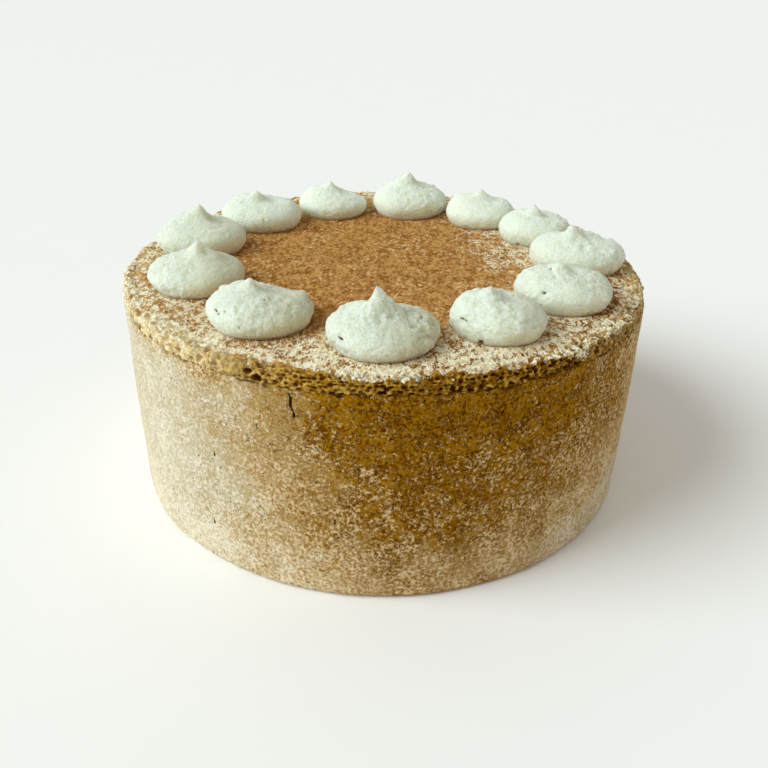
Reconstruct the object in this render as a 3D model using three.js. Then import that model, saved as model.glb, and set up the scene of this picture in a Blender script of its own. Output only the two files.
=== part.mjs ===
// A round tiramisu cake, uncut: a body wrapped in sponge with its baked skin outwards, a thin sponge disc
// on top whose open crumb shows at the rim, and a ring of piped cream dollops that stand on the disc.
// Millimetres, +Z up. The origin is the centre of the base, and the front of the cake faces -Y.
import * as THREE from "three";
import { mergeVertices } from "three/addons/utils/BufferGeometryUtils.js";

// Driving dimensions
const CAKE_RADIUS = 100;
const CAKE_HEIGHT = 84; // to the top of the sponge disc
const DISC_THICKNESS = 5.5;
const REST_GAP = 0.3; // clear space between pieces that lie on each other

// Body
const BASE_ROUND = 2.5; // radius of the bottom edge
const SHOULDER_ROUND = 1.4; // radius of the body's top edge, which leaves a groove under the disc
const WALL_BULGE = 0.5; // the wall stands out by this much at mid height
const WALL_UNEVEN = 0.45; // how far the wrapped wall departs from round
const WALL_ROWS = 8;
const BODY_SEGMENTS = 80;

// Waves that make the wall uneven: how many go round, their share of the whole, where they start, and how
// far they turn on the way up
const WALL_WAVES = [
  { count: 3, share: 0.45, start: 1.3, climb: 1.5 },
  { count: 7, share: 0.35, start: 0.4, climb: -2.2 },
  { count: 13, share: 0.2, start: 2.1, climb: 4 },
];

// Sponge disc
const RIM_TOP_ROUND = 2.4; // worn upper edge of the cut rim
const RIM_BOTTOM_ROUND = 0.9;
const RIM_ROWS = 3;
const CRAG_DEPTH = 1.1; // relief of the torn crumb at the rim
const CRAG_DROP = 0.4; // how far a crag's top sinks below the disc's top
const CRAG_BAND = 4.5; // the crags reach this far in from the rim
const CRAG_SEED = 20411;
const DISC_SEGMENTS = 150;

// Piped dollops, as multiples of a dollop's own radius or dome height
const CONTACT = 0.84; // radius of the patch that the dollop stands on
const BELLY = 0.36; // height of the widest ring
const TIP_WIDTH = 0.7; // radius of the tip's foot
const TIP_POWER = 2.8; // sharpness of the tip's flare
const LEAN_POWER = 1.5; // above 1 the lean grows towards the tip
const PULL_DEPTH = 0.1; // hollow beside the tip, where the nozzle pulled away
const PULL_REACH = 0.4; // distance of that hollow from the dollop's axis
const PULL_SPREAD = 0.24;
const SHOULDER_LIFT = 0.1; // what a fully drawn-out right shoulder adds to the height there
const SHOULDER_WIDEN = 0.04;
const OVAL = 0.02; // how far a dollop departs from round, as an oval and as a rounded triangle
const THREE_SIDED = 0.015;
const UNDERCUT_STEPS = 3;
const DOME_RINGS = [0.97, 0.9, 0.79, 0.65, 0.5, 0.36, 0.25, 0.16, 0.08]; // ring radii from belly to tip
const DOLLOP_SEGMENTS = 20;
const DOLLOP_SEED = 71993;

// Each dollop: turn from the front, anticlockwise from above, in degrees; distance of its centre from the
// cake's axis; its radius; height of its dome; height of the drawn-up tip over the dome; how far the tip
// leans along X; and how strongly its right shoulder is drawn out, from 0 to 1
const DOLLOPS = [
  { turn: 0, ring: 73, radius: 18.4, dome: 10.5, tip: 8, lean: -2.0, shoulder: 0.4 },
  { turn: 31, ring: 73, radius: 16.1, dome: 11.2, tip: 3.8, lean: -3.0, shoulder: 0.5 },
  { turn: 59.5, ring: 74, radius: 17.2, dome: 11, tip: 3.5, lean: -2.2, shoulder: 0.4 },
  { turn: 89, ring: 75.5, radius: 17.9, dome: 12, tip: 4.5, lean: -3.4, shoulder: 0.8 },
  { turn: 115.5, ring: 70.5, radius: 14.9, dome: 10.5, tip: 4, lean: -0.5, shoulder: 0.6 },
  { turn: 141, ring: 68, radius: 15.3, dome: 10.2, tip: 3.8, lean: -0.3, shoulder: 0.4 },
  { turn: 170.5, ring: 67.5, radius: 16.9, dome: 12.6, tip: 4.9, lean: -0.3, shoulder: 0.2 },
  { turn: 201, ring: 67.5, radius: 15.3, dome: 10.5, tip: 4, lean: -1.0, shoulder: 0.3 },
  { turn: 231, ring: 70, radius: 16.9, dome: 10.8, tip: 4.2, lean: -1.7, shoulder: 0.3 },
  { turn: 260.5, ring: 75.5, radius: 17.8, dome: 11.8, tip: 5.2, lean: 0.3, shoulder: 0.2 },
  { turn: 292.5, ring: 73.5, radius: 17.3, dome: 10.8, tip: 5.7, lean: 1.3, shoulder: 0.1 },
  { turn: 325.5, ring: 72, radius: 17.7, dome: 10.6, tip: 4.4, lean: -2.4, shoulder: 0.5 },
];
const FRONT = -90; // azimuth of the front, in degrees from +X
const ARC_STEPS = 3; // straight steps in each rounded edge
const SAME_PLACE = 1e-3; // vertices closer than this are one

const skin = new THREE.MeshStandardMaterial({ color: 0xb98a4a, roughness: 0.9, metalness: 0 });
const crumb = new THREE.MeshStandardMaterial({ color: 0xb9854f, roughness: 0.95, metalness: 0 });
const cream = new THREE.MeshStandardMaterial({ color: 0xe9efe0, roughness: 0.6, metalness: 0 });

// A repeatable stream of numbers from 0 to 1, by the minimal standard generator.
function seededDraws(seed) {
  const modulus = 2 ** 31 - 1;
  const multiplier = 16807;
  let state = seed;
  return () => {
    state = (state * multiplier) % modulus;
    return state / modulus;
  };
}

// The points that divide a stretch into steps, each made from its share of the way, ends included.
function along(steps, makePoint) {
  return Array.from({ length: steps + 1 }, (_, i) => makePoint(i / steps));
}

// A rounded edge of a profile, from one direction to another, in radians.
function roundedEdge(radius, height, round, from, to) {
  return along(ARC_STEPS, (share) => {
    const angle = THREE.MathUtils.lerp(from, to, share);
    return new THREE.Vector2(radius + round * Math.cos(angle), height + round * Math.sin(angle));
  });
}

// A closed solid of revolution about +Z, its shared vertices merged so that each can be moved alone.
function turned(profile, segments) {
  const lathe = new THREE.LatheGeometry(profile, segments).rotateX(Math.PI / 2);
  lathe.deleteAttribute("normal");
  lathe.deleteAttribute("uv");
  return mergeVertices(lathe, SAME_PLACE);
}

// Moves every vertex of a geometry by a function that changes the point it is given.
function shaped(geometry, move) {
  const places = geometry.getAttribute("position");
  const point = new THREE.Vector3();
  for (let i = 0; i < places.count; i++) {
    move(point.fromBufferAttribute(places, i));
    places.setXYZ(i, point.x, point.y, point.z);
  }
  geometry.computeVertexNormals();
  return geometry;
}

// How far the wrapped wall stands out at a point of it.
function wallOffset(point) {
  const angle = Math.atan2(point.y, point.x);
  const rise = point.z / CAKE_HEIGHT;
  const waves = WALL_WAVES.map(
    ({ count, share, start, climb }) => share * Math.sin(count * angle + start + climb * rise),
  );
  return WALL_UNEVEN * waves.reduce((sum, wave) => sum + wave);
}

// Moves a point straight away from the axis by a length.
function moveOut(point, length) {
  const radius = Math.hypot(point.x, point.y);
  point.x *= (radius + length) / radius;
  point.y *= (radius + length) / radius;
}

function cakeBody() {
  const top = CAKE_HEIGHT - DISC_THICKNESS - REST_GAP;
  const wall = along(WALL_ROWS, (share) => {
    const bulge = WALL_BULGE * Math.sin(Math.PI * share);
    const height = THREE.MathUtils.lerp(BASE_ROUND, top - SHOULDER_ROUND, share);
    return new THREE.Vector2(CAKE_RADIUS + bulge, height);
  });
  const profile = [
    new THREE.Vector2(0, 0),
    ...roundedEdge(CAKE_RADIUS - BASE_ROUND, BASE_ROUND, BASE_ROUND, -Math.PI / 2, 0),
    ...wall.slice(1, -1),
    ...roundedEdge(CAKE_RADIUS - SHOULDER_ROUND, top - SHOULDER_ROUND, SHOULDER_ROUND, 0, Math.PI / 2),
    new THREE.Vector2(0, top),
  ];
  return shaped(turned(profile, BODY_SEGMENTS), (point) => {
    const onWall = Math.hypot(point.x, point.y) > CAKE_RADIUS - BASE_ROUND / 2;
    if (onWall) moveOut(point, wallOffset(point));
  });
}

function spongeDisc() {
  const base = CAKE_HEIGHT - DISC_THICKNESS;
  const rimFrom = base + RIM_BOTTOM_ROUND;
  const rimTo = CAKE_HEIGHT - RIM_TOP_ROUND;
  const rim = along(
    RIM_ROWS,
    (share) => new THREE.Vector2(CAKE_RADIUS, THREE.MathUtils.lerp(rimFrom, rimTo, share)),
  );
  const profile = [
    new THREE.Vector2(0, base),
    ...roundedEdge(CAKE_RADIUS - RIM_BOTTOM_ROUND, rimFrom, RIM_BOTTOM_ROUND, -Math.PI / 2, 0),
    ...rim.slice(1, -1),
    ...roundedEdge(CAKE_RADIUS - RIM_TOP_ROUND, rimTo, RIM_TOP_ROUND, 0, Math.PI / 2),
    new THREE.Vector2(CAKE_RADIUS - CRAG_BAND, CAKE_HEIGHT),
    new THREE.Vector2(0, CAKE_HEIGHT),
  ];
  const draw = seededDraws(CRAG_SEED);
  return shaped(turned(profile, DISC_SEGMENTS), (point) => {
    const radius = Math.hypot(point.x, point.y);
    const nearRim = THREE.MathUtils.smoothstep(radius, CAKE_RADIUS - CRAG_BAND, CAKE_RADIUS);
    const rise = (point.z - base) / DISC_THICKNESS;
    if (nearRim === 0 || rise < SAME_PLACE) return;
    moveOut(point, wallOffset(point) - CRAG_DEPTH * nearRim * draw());
    point.z -= CRAG_DROP * nearRim * rise * draw();
  });
}

// Heights of the dome over its belly and of the tip over the dome, at a share of the dollop's radius.
function domeHeight(share) {
  return (1 - BELLY) * Math.sqrt(1 - share ** 2);
}

function tipHeight(share) {
  return Math.max(0, 1 - share / TIP_WIDTH) ** TIP_POWER;
}

function creamDollop({ radius, dome, tip, lean, shoulder }, draw) {
  const undercut = along(UNDERCUT_STEPS, (share) => {
    const angle = (share * Math.PI) / 2;
    const ring = radius * (CONTACT + (1 - CONTACT) * Math.sin(angle));
    return new THREE.Vector2(ring, dome * BELLY * (1 - Math.cos(angle)));
  });
  const rings = [...DOME_RINGS, 0].map((share) => {
    const rise = dome * (BELLY + domeHeight(share)) + tip * tipHeight(share);
    return new THREE.Vector2(radius * share, rise);
  });
  const profile = [new THREE.Vector2(0, 0), ...undercut, ...rings];
  const ovalStart = 2 * Math.PI * draw();
  const threeSidedStart = 2 * Math.PI * draw();
  return shaped(turned(profile, DOLLOP_SEGMENTS), (point) => {
    const angle = Math.atan2(point.y, point.x);
    const share = Math.hypot(point.x, point.y) / radius;
    const rise = Math.max(0, point.z / dome - BELLY) / (1 - BELLY);
    const drawnOut = shoulder * Math.max(0, Math.cos(angle));
    const outline =
      1 +
      OVAL * Math.cos(2 * angle + ovalStart) +
      THREE_SIDED * Math.cos(3 * angle + threeSidedStart) +
      SHOULDER_WIDEN * drawnOut;
    const pull = Math.hypot(point.x / radius - PULL_REACH, point.y / radius) / PULL_SPREAD;
    point.x = point.x * outline + lean * Math.min(1, rise ** LEAN_POWER);
    point.y *= outline;
    if (rise === 0) return;
    point.z += dome * (SHOULDER_LIFT * drawnOut * share ** 2 - PULL_DEPTH * Math.exp(-(pull ** 2)));
  });
}

const cake = new THREE.Group();

function addPiece(name, geometry, material) {
  const mesh = new THREE.Mesh(geometry, material);
  mesh.name = name;
  cake.add(mesh);
  return mesh;
}

addPiece("cake_body", cakeBody(), skin);
addPiece("sponge_disc", spongeDisc(), crumb);
const dollopDraw = seededDraws(DOLLOP_SEED);
DOLLOPS.forEach((dollop, i) => {
  const name = `cream_dollop_${String(i + 1).padStart(2, "0")}`;
  const mesh = addPiece(name, creamDollop(dollop, dollopDraw), cream);
  const azimuth = THREE.MathUtils.degToRad(FRONT + dollop.turn);
  mesh.position.set(
    dollop.ring * Math.cos(azimuth),
    dollop.ring * Math.sin(azimuth),
    CAKE_HEIGHT + REST_GAP,
  );
});

export default cake;
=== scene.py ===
import itertools
import math

import bmesh
import bpy
import numpy as np
from mathutils import Matrix, Vector


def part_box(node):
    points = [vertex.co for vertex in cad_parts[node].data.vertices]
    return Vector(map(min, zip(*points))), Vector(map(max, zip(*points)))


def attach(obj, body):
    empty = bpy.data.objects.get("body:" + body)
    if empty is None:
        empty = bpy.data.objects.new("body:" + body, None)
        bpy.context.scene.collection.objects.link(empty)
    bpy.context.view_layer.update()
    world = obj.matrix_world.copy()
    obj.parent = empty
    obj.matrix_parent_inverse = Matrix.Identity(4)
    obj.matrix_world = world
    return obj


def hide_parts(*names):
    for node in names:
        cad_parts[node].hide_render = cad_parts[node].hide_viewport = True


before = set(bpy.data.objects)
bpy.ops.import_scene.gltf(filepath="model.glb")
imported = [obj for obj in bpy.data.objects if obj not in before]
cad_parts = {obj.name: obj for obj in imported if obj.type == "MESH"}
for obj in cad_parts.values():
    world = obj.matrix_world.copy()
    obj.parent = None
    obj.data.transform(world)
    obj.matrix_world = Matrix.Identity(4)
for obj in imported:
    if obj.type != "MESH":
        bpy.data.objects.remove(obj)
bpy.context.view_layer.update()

MM = 0.001
TURN = 2 * math.pi
TOUCHING = 0.001 * MM  # vertices nearer than this are one

# Sizes that the solids have too, in metres
CAKE_RADIUS = 100 * MM
CAKE_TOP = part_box("sponge_disc")[1].z
DISC_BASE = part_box("sponge_disc")[0].z
WALL_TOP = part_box("cake_body")[1].z
BASE_ROUND = 2.5 * MM
WALL_BULGE = 0.5 * MM
WALL_UNEVEN = 0.45 * MM
WALL_WAVES = [  # how many go round, their share, where they start and how far they turn on the way up
    (3, 0.45, 1.3, 1.5),
    (7, 0.35, 0.4, -2.2),
    (13, 0.2, 2.1, 4),
]
RIM_TOP_ROUND = 2.4 * MM

# Dollops, as multiples of a dollop's own radius or dome height
CONTACT = 0.9
BELLY = 0.36
TIP_WIDTH = 0.7
TIP_POWER = 2.8
LEAN_POWER = 1.5
PULL_DEPTH = 0.1
PULL_REACH = 0.4
PULL_SPREAD = 0.24
SHOULDER_LIFT = 0.1
SHOULDER_WIDEN = 0.04
OVAL = 0.02
FLATTENED = 0.93  # depth of a dollop from front to back, as a share of its width
THREE_SIDED = 0.015
DOLLOP_SEED = 71993
DOLLOPS = [  # turn from the front in degrees, then millimetres: ring, radius, dome, tip, lean; shoulder
    (0, 73, 18.4, 10.5, 8, -2.0, 0.4),
    (31, 73, 16.1, 11.2, 3.8, -3.0, 0.5),
    (59.5, 74, 17.2, 11, 3.5, -2.2, 0.4),
    (89, 75.5, 17.9, 12, 4.5, -3.4, 0.8),
    (115.5, 70.5, 14.9, 10.5, 4, -0.5, 0.6),
    (141, 68, 15.3, 10.2, 3.8, -0.3, 0.4),
    (170.5, 67.5, 16.9, 12.6, 4.9, -0.3, 0.2),
    (201, 67.5, 15.3, 10.5, 4, -1.0, 0.3),
    (231, 70, 16.9, 10.8, 4.2, -1.7, 0.3),
    (260.5, 75.5, 17.8, 11.8, 5.2, 0.3, 0.2),
    (292.5, 73.5, 17.3, 10.8, 5.7, 1.3, 0.1),
    (325.5, 72, 17.7, 10.6, 4.4, -2.4, 0.5),
]
FRONT = -90  # azimuth of the front, in degrees from +X


# Unevenness

# Turns the lattice of the lumps away from the cake's own directions, so that its rows don't show
ASKEW = np.array(Matrix.Rotation(0.7, 3, "X") @ Matrix.Rotation(0.5, 3, "Y") @ Matrix.Rotation(0.3, 3, "Z"))


def lattice_draws(cells, seed):
    """A number from -1 to 1 for each whole-numbered place, the same each time."""
    x, y, z = (cells[..., i].astype(np.uint32) for i in range(3))
    mixed = x * np.uint32(374761393) + y * np.uint32(668265263) + z * np.uint32(2246822519)
    mixed = mixed + np.uint32(seed * 3266489917 % 2**32)
    mixed = (mixed ^ (mixed >> np.uint32(13))) * np.uint32(1274126177)
    mixed = mixed ^ (mixed >> np.uint32(16))
    return (mixed & np.uint32(0xFFFF)) / 32767.5 - 1


def lumps(places, size, seed):
    """Smooth unevenness from -1 to 1, its bumps about the given size."""
    spots = places @ ASKEW / size
    low = np.floor(spots).astype(np.int64)
    part = spots - low
    part = part**3 * (part * (part * 6 - 15) + 10)
    total = np.zeros(len(places))
    for corner in itertools.product((0, 1), repeat=3):
        weight = np.prod(np.where(corner, part, 1 - part), axis=1)
        total += weight * lattice_draws(low + np.array(corner), seed)
    return total


def layered_lumps(places, seed, *layers):
    """Lumps of several sizes together. A layer is its share and its size in millimetres."""
    return sum(share * lumps(places, size * MM, seed + i) for i, (share, size) in enumerate(layers))


def smooth_step(low, high, value):
    """0 below low, 1 above high and an even slope between; high may be the lower one."""
    share = np.clip((value - low) / (high - low), 0, 1)
    return share * share * (3 - 2 * share)


def bell(value, middle, width):
    """1 at the middle, falling off on both sides."""
    return np.exp(-(((value - middle) / width) ** 2))


def angle_of(places):
    return np.arctan2(places[:, 1], places[:, 0])


def radius_of(places):
    return np.hypot(places[:, 0], places[:, 1])


def turn_between(angles, degrees):
    """Angle from a direction in degrees, the short way round, in degrees."""
    return (np.degrees(angles) - degrees + 180) % 360 - 180


def turn_from_front(places):
    """Angle round the cake in degrees: 0 at the front, and positive on the right."""
    return turn_between(angle_of(places), FRONT)


def round_from(angles, degrees):
    """Millimetres round the wall from a direction in degrees."""
    return np.radians(turn_between(angles, degrees)) * CAKE_RADIUS / MM


def seeded_draws(seed):
    """The minimal standard generator, as numbers from 0 to 1."""
    state = seed
    while True:
        state = state * 16807 % (2**31 - 1)
        yield state / (2**31 - 1)


def seeded_rows(seed, count, low, high):
    """Rows of numbers drawn evenly between two rows, the same each time."""
    return [tuple(row) for row in np.random.default_rng(seed).uniform(low, high, (count, len(low)))]


# Meshes


def read_places(mesh):
    places = np.empty(len(mesh.vertices) * 3)
    mesh.vertices.foreach_get("co", places)
    return places.reshape(-1, 3)


def read_normals(mesh):
    normals = np.empty(len(mesh.vertices) * 3, np.float32)
    mesh.vertex_normals.foreach_get("vector", normals)
    return normals.reshape(-1, 3)


def write_places(mesh, places):
    mesh.vertices.foreach_set("co", np.ascontiguousarray(places).ravel())
    mesh.update()


def write_mask(mesh, name, values):
    mask = mesh.attributes.new(name, "FLOAT", "POINT")
    mask.data.foreach_set("value", values.astype(np.float32))


def put_in_scene(name, data):
    """An object in the scene for a mesh, a camera or a light."""
    made = bpy.data.objects.new(name, data)
    bpy.context.scene.collection.objects.link(made)
    return made


def piece_from(name, bm):
    """A smooth-shaded object from a finished bmesh."""
    mesh = bpy.data.meshes.new(name)
    bm.to_mesh(mesh)
    bm.free()
    mesh.shade_smooth()
    return put_in_scene(name, mesh)


def on_one_ring(edge):
    """Whether an edge runs round the turn, not along the profile."""
    first, second = (v.co for v in edge.verts)
    same_height = abs(first.z - second.z) < TOUCHING
    return same_height and abs(first.xy.length - second.xy.length) < TOUCHING


def turned_piece(name, profile, steps, parts, loop=False):
    """A piece spun about +Z from a profile of (radius, height) points, each step divided into parts."""
    bm = bmesh.new()
    chain = [bm.verts.new((radius, 0, height)) for radius, height in profile]
    ends = chain[1:] + chain[:1] if loop else chain[1:]
    edges = [bm.edges.new(pair) for pair in zip(chain, ends)]
    bmesh.ops.spin(
        bm, geom=chain + edges, cent=(0, 0, 0), axis=(0, 0, 1), angle=TURN, steps=steps, use_merge=True
    )
    bmesh.ops.remove_doubles(bm, verts=bm.verts, dist=TOUCHING)
    rings = [edge for edge in bm.edges if on_one_ring(edge)]
    bmesh.ops.subdivide_edges(bm, edges=rings, cuts=parts - 1, use_grid_fill=True)
    bmesh.ops.recalc_face_normals(bm, faces=bm.faces)
    piece = piece_from(name, bm)
    places = read_places(piece.data)
    slice_angle = TURN / steps
    from_middle = angle_of(places) % slice_angle - slice_angle / 2
    places[:, :2] *= (np.cos(from_middle) / math.cos(slice_angle / 2))[:, None]
    write_places(piece.data, places)
    return piece


def along(start, end, steps):
    """Points of a straight stretch of a profile, without its first one."""
    return [tuple(np.array(start) + (np.array(end) - start) * i / steps) for i in range(1, steps + 1)]


def round_edge(radius, height, size, first, last, steps):
    """Points of a rounded edge of a profile, between two directions in degrees."""
    turns = np.radians(np.linspace(first, last, steps + 1))
    return [(radius + size * math.cos(a), height + size * math.sin(a)) for a in turns]


# Finishes


def paint(red, green, blue):
    """A colour given as 0 to 255 in the usual encoding, as Blender's linear colour."""
    shares = [x / 255 for x in (red, green, blue)]
    return tuple(x / 12.92 if x <= 0.04045 else ((x + 0.055) / 1.055) ** 2.4 for x in shares) + (1,)


class Wire:
    """A value in a finish. Arithmetic on it adds Math nodes."""

    def __init__(self, finish, socket):
        self.finish = finish
        self.socket = socket

    def math(self, operation, first, second):
        return self.finish.node("ShaderNodeMath", {"operation": operation}, {0: first, 1: second})

    def __add__(self, other):
        return self.math("ADD", self, other)

    def __sub__(self, other):
        return self.math("SUBTRACT", self, other)

    def __rsub__(self, other):
        return self.math("SUBTRACT", other, self)

    def __mul__(self, other):
        return self.math("MULTIPLY", self, other)

    __radd__ = __add__
    __rmul__ = __mul__


class Finish:
    """A procedural material, built from the places of the piece it is on."""

    def __init__(self, name, grain=(1, 1, 1)):
        self.material = bpy.data.materials.new(name)
        self.material.use_nodes = True
        self.tree = self.material.node_tree
        self.tree.nodes.clear()
        coordinates = self.node("ShaderNodeTexCoord", output="Object")
        sizes = tuple(x / MM for x in grain)
        self.place = self.node("ShaderNodeVectorMath", {"operation": "MULTIPLY"}, {0: coordinates, 1: sizes})

    def node(self, kind, settings=None, inputs=None, output=0):
        """Adds a node, its settings first, and gives one of its outputs."""
        made = self.tree.nodes.new(kind)
        for name, value in (settings or {}).items():
            setattr(made, name, value)
        for name, value in (inputs or {}).items():
            if isinstance(value, Wire):
                self.tree.links.new(value.socket, made.inputs[name])
            else:
                made.inputs[name].default_value = value
        return Wire(self, made.outputs[output]) if made.outputs else None

    def mask(self, name):
        return self.node("ShaderNodeAttribute", {"attribute_name": name}, output="Fac")

    def noise(self, size, detail=2, rough=0.5):
        """Even noise from 0 to 1 whose lumps are about this many millimetres."""
        inputs = {"Vector": self.place, "Scale": 1 / size, "Detail": detail, "Roughness": rough}
        return self.node("ShaderNodeTexNoise", None, inputs)

    def cells(self, size):
        """Distance from the nearest of many scattered points, and a draw for each of those points."""
        inputs = {"Vector": self.place, "Scale": 1 / size}
        near = self.node("ShaderNodeTexVoronoi", None, inputs, "Distance")
        colour = Wire(self, near.socket.node.outputs["Color"])
        draw = self.node("ShaderNodeSeparateColor", None, {"Color": colour}, "Red")
        return near, draw

    def step(self, value, low, high):
        """0 at low and 1 at high, smooth between."""
        return self.node(
            "ShaderNodeMapRange",
            {"interpolation_type": "SMOOTHSTEP"},
            {"Value": value, "From Min": low, "From Max": high},
        )

    def largest(self, first, *others):
        for other in others:
            first = first.math("MAXIMUM", first, other)
        return first

    def mix(self, first, second, factor):
        """One colour turning into another."""
        made = {"data_type": "RGBA", "clamp_factor": True}
        return self.node("ShaderNodeMix", made, {0: factor, 6: first, 7: second}, 2)

    def done(self, colour, rough, height, depth, **constants):
        """Ends the finish: colour and roughness, relief from a height whose full range is depth metres."""
        bump = self.node("ShaderNodeBump", None, {"Height": height, "Distance": depth, "Strength": 1.0})
        inputs = {"Base Color": colour, "Roughness": rough, "Normal": bump}
        inputs.update({name.replace("_", " "): value for name, value in constants.items()})
        surface = self.node("ShaderNodeBsdfPrincipled", None, inputs)
        self.node("ShaderNodeOutputMaterial", None, {"Surface": surface})
        return self.material


# Colours

SKIN_GOLD = paint(160, 112, 6)
SKIN_DARK = paint(88, 46, 0)
SKIN_RED = paint(122, 66, 0)
# painted shade in the skin's pits, pocks and cracks
PIT_BROWN = paint(52, 26, 2)
GRIT_BROWN = paint(146, 104, 40)
SUGAR = paint(238, 228, 204)
SUGAR_THIN = paint(217, 183, 131)
SUGAR_WARM = paint(236, 217, 182)
SUGAR_TAN = paint(178, 146, 92)
SUGAR_FILM = paint(202, 181, 141)
SUGAR_COOL = paint(213, 204, 178)
CRUMB_PALE = paint(204, 166, 80)
CRUMB_GOLD = paint(150, 104, 14)
# darker soaked crumb, and painted shade on the front and right, away from the light
CRUMB_SOAKED_AND_SHADED = paint(116, 72, 2)
CRUMB_DUSTED = paint(245, 227, 176)
# painted shade in the crumb's pores
PORE_BROWN = paint(96, 52, 2)
# pores of soaked crumb, with painted shade on the front and right
PORE_SOAKED_AND_SHADED = paint(70, 32, 0)
# dusted pores, lighter on the left partly as painted light
PORE_DUSTED_AND_LIT = paint(168, 110, 32)
# painted contact shadow round the dollops' feet
CONTACT_SHADOW_BROWN = paint(124, 76, 28)
COCOA = paint(204, 154, 92)
COCOA_DARK = paint(138, 88, 32)
COCOA_PALE = paint(232, 200, 152)
SUGAR_TOP = paint(244, 241, 217)
SUGAR_SHADE = paint(218, 194, 148)
CREAM = paint(232, 242, 226)
# painted shade on the right of some dollops
CREAM_SHADE = paint(206, 208, 182)
# painted warm bounce light low on the dollops
CREAM_WARM_BOUNCE = paint(252, 226, 180)
# painted shade in the cream's fine air pits, and grey flecks
CREAM_GREY = paint(172, 178, 152)
# painted shade in the cream's holes
CREAM_HOLE_SHADE = paint(150, 112, 60)
# brown stain at the dollops' feet, and painted warm bounce light
CREAM_FOOT_STAIN_AND_BOUNCE = paint(246, 184, 106)


def baked_brown(f, sand):
    """Colour of bare skin: dark to golden brown in fine mottles, redder in places."""
    mottle = f.noise(8, 3) * 0.2 + f.noise(2.6, 2) * 0.15 + sand * 0.65
    brown = f.mix(SKIN_DARK, SKIN_GOLD, f.step(mottle, 0.4, 0.6))
    return f.mix(brown, SKIN_RED, f.step(f.noise(4.5, 2), 0.5, 0.7) * 0.4)


def sugar_film(f, brown, film):
    """Colour of skin below a gritty film of sugar, which turns from tan to cool white as it thickens."""
    coat = film + (f.noise(0.8, 3, 0.7) - 0.5) + (f.noise(3, 2) - 0.5) * 0.45
    base = f.mix(brown, SUGAR_TAN, f.step(coat, 0.0, 0.42))
    base = f.mix(base, SUGAR_FILM, f.step(coat, 0.3, 0.72))
    base = f.mix(base, SUGAR_COOL, f.step(coat, 0.66, 1.0))
    grit = f.step(f.noise(0.9, 2, 0.6), 0.42, 0.34) * film
    return f.mix(base, GRIT_BROWN, grit * 0.5)


def skin_holes(f, film, torn):
    """1 in the pits, pocks and cracks of the skin, where it is painted dark as shade."""
    near, draw = f.cells(2.2)
    pit = f.step(near, 0.12, 0.06) * f.step(draw, 0.72, 0.74) * (0.85 - film * 0.6)
    split = f.step(f.mask("crack"), 0.42, 0.75)
    pocks = f.step(f.noise(0.9, 2, 0.6), 0.42, 0.35) * torn * (0.9 - film * 0.5)
    return f.largest(pit, pocks, split)


def sponge_skin_finish():
    """Baked sponge skin: golden brown and finely mottled, with a patchy dusting of sugar."""
    f = Finish("sponge_skin")
    # sugar film, thickest on the left where it also stands in for the brighter light (painted light)
    film = f.mask("film")
    sand = f.noise(1.1, 3, 0.7)
    base = sugar_film(f, baked_brown(f, sand), film)
    torn = f.step(f.noise(6, 2), 0.56, 0.68)
    drift = f.noise(1.15, 3, 0.75) + f.mask("dust") * 0.44 + torn * 0.05
    thin = f.step(drift, 0.64, 0.73)
    thick = f.step(drift, 0.75, 0.86)
    specks = f.mix(SUGAR_THIN, SUGAR_COOL, f.step(film, 0.25, 0.65))
    colour = f.mix(base, specks, thin * (0.95 - film * 0.45))
    white = f.mix(SUGAR_WARM, SUGAR, f.step(film, 0.15, 0.5))
    colour = f.mix(colour, white, thick * 0.75 + film * thin * 0.3)
    hole = skin_holes(f, film, torn)
    # painted shade in the pits, pocks and cracks
    colour = f.mix(colour, PIT_BROWN, hole)
    height = sand * 0.6 + f.noise(2.2, 2) * 0.3 + thin * 0.25 + thick * 0.2 - hole
    return f.done(colour, 0.92 - f.noise(3) * 0.12, height, 0.4 * MM, Specular_IOR_Level=0.0)


POWDER_GRAIN = (1, 0.6, 1)  # clumps of powder are a little longer from front to back


def cocoa_powder(f):
    """Colour of sieved cocoa, lighter and darker in small clumps."""
    clumps = f.noise(1.3, 3, 0.65) * 0.64 + f.noise(3.4, 2, 0.6) * 0.36
    powder = f.mix(COCOA_DARK, COCOA, f.step(clumps, 0.36, 0.62))
    loose = f.step(f.noise(1.3, 2, 0.6), 0.57, 0.66) * f.step(f.noise(11, 2), 0.4, 0.62)
    return f.mix(powder, COCOA_PALE, loose * 0.8)


def sugar_powder(f, sugar):
    """Where sieved sugar lies for a given cover, and its colour."""
    clumps = f.noise(1.9, 2, 0.55)
    grains = f.noise(0.85, 2, 0.6)
    white = f.step(sugar + (clumps - 0.5) * 1.6 + (grains - 0.5) * 1.2, 0.42, 0.6)
    return white, f.mix(SUGAR_SHADE, SUGAR_TOP, f.step(f.noise(0.9, 2), 0.36, 0.6))


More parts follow.
